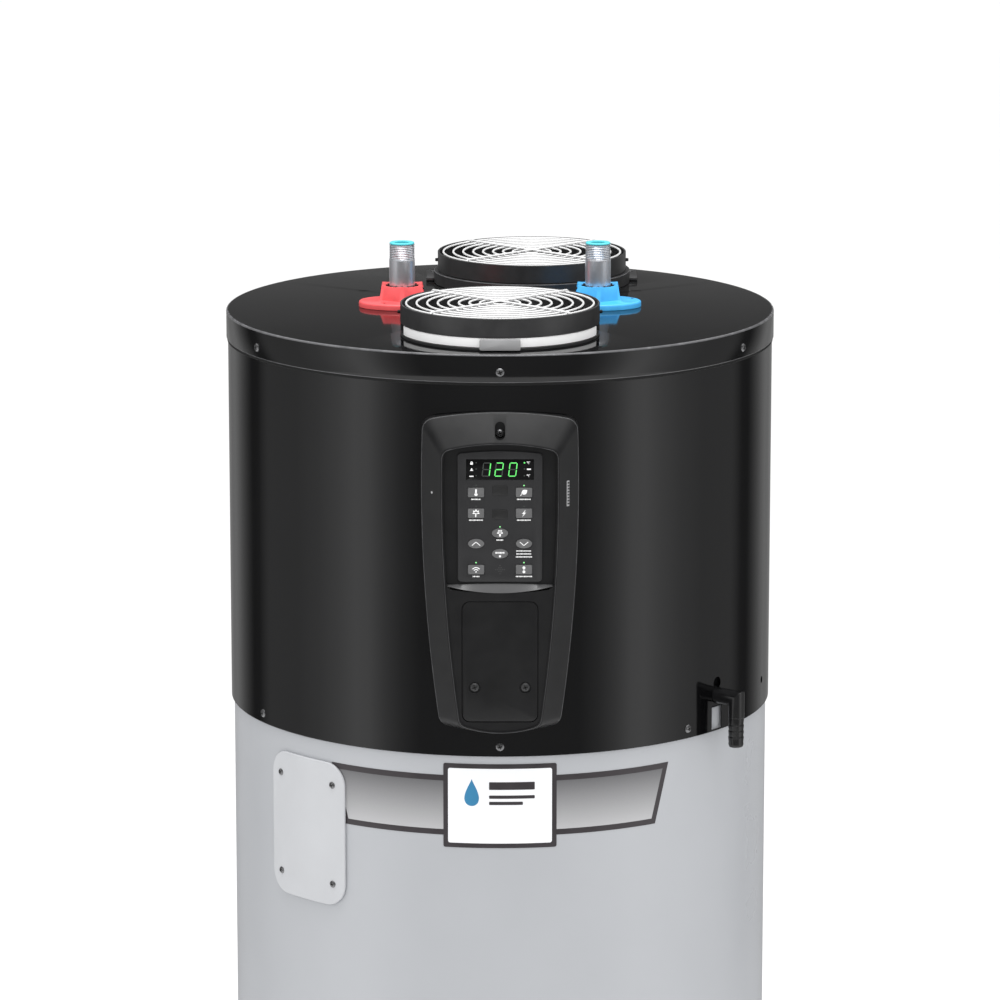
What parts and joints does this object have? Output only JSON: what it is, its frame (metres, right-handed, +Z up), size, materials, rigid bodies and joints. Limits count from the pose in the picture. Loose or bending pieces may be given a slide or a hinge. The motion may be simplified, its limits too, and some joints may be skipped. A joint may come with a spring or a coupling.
{
  "type": "tank water heater",
  "caption": "Upright electric tank water heater with a heat pump in a black shroud on top, duct collars and pipe nipples on its lid and a keypad panel on its front.",
  "frame": {"origin": "on the floor, on the tank's axis", "axes": "+Z up, the control panel faces -Y, the hot nipple is at -X and the cold nipple at +X"},
  "size_m": [0.568, 0.6535, 1.7573],
  "materials": {
    "black_gloss": "gloss black powder coat with soft reflections",
    "black_satin": "satin black moulded plastic, fine grain",
    "jacket_grey": "light blue-grey powder coat, satin",
    "cover_grey": "light grey moulded plastic, matt",
    "enamel": "dark glass-lined steel shell",
    "steel": "bare pressed steel",
    "galvanised": "zinc-plated steel, slightly mottled",
    "wire": "bright plated wire",
    "brass": "cast and machined brass",
    "copper": "drawn copper tube",
    "aluminium": "rolled aluminium",
    "foam": "rigid polyurethane foam",
    "hot_red": "red moulded plastic, semi-gloss",
    "cold_blue": "blue moulded plastic, semi-gloss",
    "liner_cyan": "cyan moulded plastic",
    "panel_black": "charcoal moulded plastic, satin",
    "overlay_grey": "dark grey keypad face, matt",
    "button_grey": "mid grey button, matt",
    "display_glass": "smoked display window",
    "board_green": "green circuit board",
    "tab_grey": "mid grey plastic pull tab",
    "mesh_grey": "grey woven plastic mesh",
    "relief_red": "red enamel",
    "digit_green": "lit green segments",
    "print_white": "white print",
    "badge_white": "white label face"
  },
  "bodies": {
    "root": {"shroud": "black_gloss", "lid": "black_gloss", "bottom_pan": "black_satin", "drip_tray": "black_satin", "condensate_elbow": "black_satin", "inlet_base_ring": "black_satin", "outlet_base_ring": "black_satin", "inlet_collar": "black_satin", "outlet_collar": "black_satin", "compressor": "black_satin", "accumulator": "black_satin", "jacket": "jacket_grey", "upper_element_cover": "cover_grey", "lower_element_cover": "cover_grey", "tank": "enamel", "fan_motor": "steel", "terminal_box": "steel", "hot_nipple": "galvanised", "cold_nipple": "galvanised", "upper_element": "galvanised", "lower_element": "galvanised", "fan_bracket": "galvanised", "inlet_guard": "wire", "outlet_guard": "wire", "drain_valve_body": "brass", "tp_valve_body": "brass", "expansion_valve": "brass", "condenser_coil": "copper", "refrigerant_line": "copper", "anode_rod": "aluminium", "evaporator_coil": "aluminium", "foam_insulation": "foam", "hot_pipe_collar": "hot_red", "cold_pipe_collar": "cold_blue", "hot_nipple_liner": "liner_cyan", "cold_nipple_liner": "liner_cyan", "panel_housing": "panel_black", "port_cover": "panel_black", "keypad_overlay": "overlay_grey", "display_window": "display_glass", "control_board": "board_green", "upper_thermostat": "board_green", "lower_thermistor": "board_green", "dip_tube": "mesh_grey"},
    "air_filter": {"air_filter_frame": "aluminium", "air_filter_mesh": "mesh_grey", "air_filter_tab": "tab_grey"},
    "fan": {"fan_rotor": "black_satin"},
    "drain_stem": {"drain_valve_stem": "relief_red"},
    "tp_lever": {"tp_valve_lever": "relief_red"},
    "hybrid_button": {"hybrid_button": "button_grey"},
    "heat_pump_button": {"heat_pump_button": "button_grey"},
    "vacation_button": {"vacation_button": "button_grey"},
    "electric_button": {"electric_button": "button_grey"},
    "menu_button": {"menu_button": "button_grey"},
    "up_button": {"up_button": "button_grey"},
    "down_button": {"down_button": "button_grey"},
    "enter_button": {"enter_button": "button_grey"},
    "wireless_button": {"wireless_button": "button_grey"},
    "pairing_button": {"pairing_button": "button_grey"}
  },
  "joints": [
    {"name": "air_filter_slide", "type": "slide", "parent": "root", "child": "air_filter", "axis": [0, -1, 0], "range_m": [0, 0.2]},
    {"name": "fan_spin", "type": "hinge", "parent": "root", "child": "fan", "pos_m": [0.034, 0.165, 1.635], "axis": [0, 0, 1], "continuous": true},
    {"name": "drain_stem_turn", "type": "hinge", "parent": "root", "child": "drain_stem", "pos_m": [0, -0.338, 0.125], "axis": [0, -1, 0], "range_deg": [0, 270]},
    {"name": "tp_lever_lift", "type": "hinge", "parent": "root", "child": "tp_lever", "pos_m": [0.14322, 0.30715, 1.146], "axis": [-0.9063, 0.4226, 0], "range_deg": [0, 80], "stiffness_Nm_per_rad": 0.15, "springref_deg": -17.19},
    {"name": "hybrid_press", "type": "slide", "parent": "root", "child": "hybrid_button", "axis": [0, 1, 0], "range_m": [0, 0.001], "stiffness_N_per_m": 300, "springref_m": -0.0005},
    {"name": "heat_pump_press", "type": "slide", "parent": "root", "child": "heat_pump_button", "axis": [0, 1, 0], "range_m": [0, 0.001], "stiffness_N_per_m": 300, "springref_m": -0.0005},
    {"name": "vacation_press", "type": "slide", "parent": "root", "child": "vacation_button", "axis": [0, 1, 0], "range_m": [0, 0.001], "stiffness_N_per_m": 300, "springref_m": -0.0005},
    {"name": "electric_press", "type": "slide", "parent": "root", "child": "electric_button", "axis": [0, 1, 0], "range_m": [0, 0.001], "stiffness_N_per_m": 300, "springref_m": -0.0005},
    {"name": "menu_press", "type": "slide", "parent": "root", "child": "menu_button", "axis": [0, 1, 0], "range_m": [0, 0.001], "stiffness_N_per_m": 300, "springref_m": -0.0005},
    {"name": "up_press", "type": "slide", "parent": "root", "child": "up_button", "axis": [0, 1, 0], "range_m": [0, 0.001], "stiffness_N_per_m": 300, "springref_m": -0.0005},
    {"name": "down_press", "type": "slide", "parent": "root", "child": "down_button", "axis": [0, 1, 0], "range_m": [0, 0.001], "stiffness_N_per_m": 300, "springref_m": -0.0005},
    {"name": "enter_press", "type": "slide", "parent": "root", "child": "enter_button", "axis": [0, 1, 0], "range_m": [0, 0.001], "stiffness_N_per_m": 300, "springref_m": -0.0005},
    {"name": "wireless_press", "type": "slide", "parent": "root", "child": "wireless_button", "axis": [0, 1, 0], "range_m": [0, 0.001], "stiffness_N_per_m": 300, "springref_m": -0.0005},
    {"name": "pairing_press", "type": "slide", "parent": "root", "child": "pairing_button", "axis": [0, 1, 0], "range_m": [0, 0.001], "stiffness_N_per_m": 300, "springref_m": -0.0005}
  ]
}
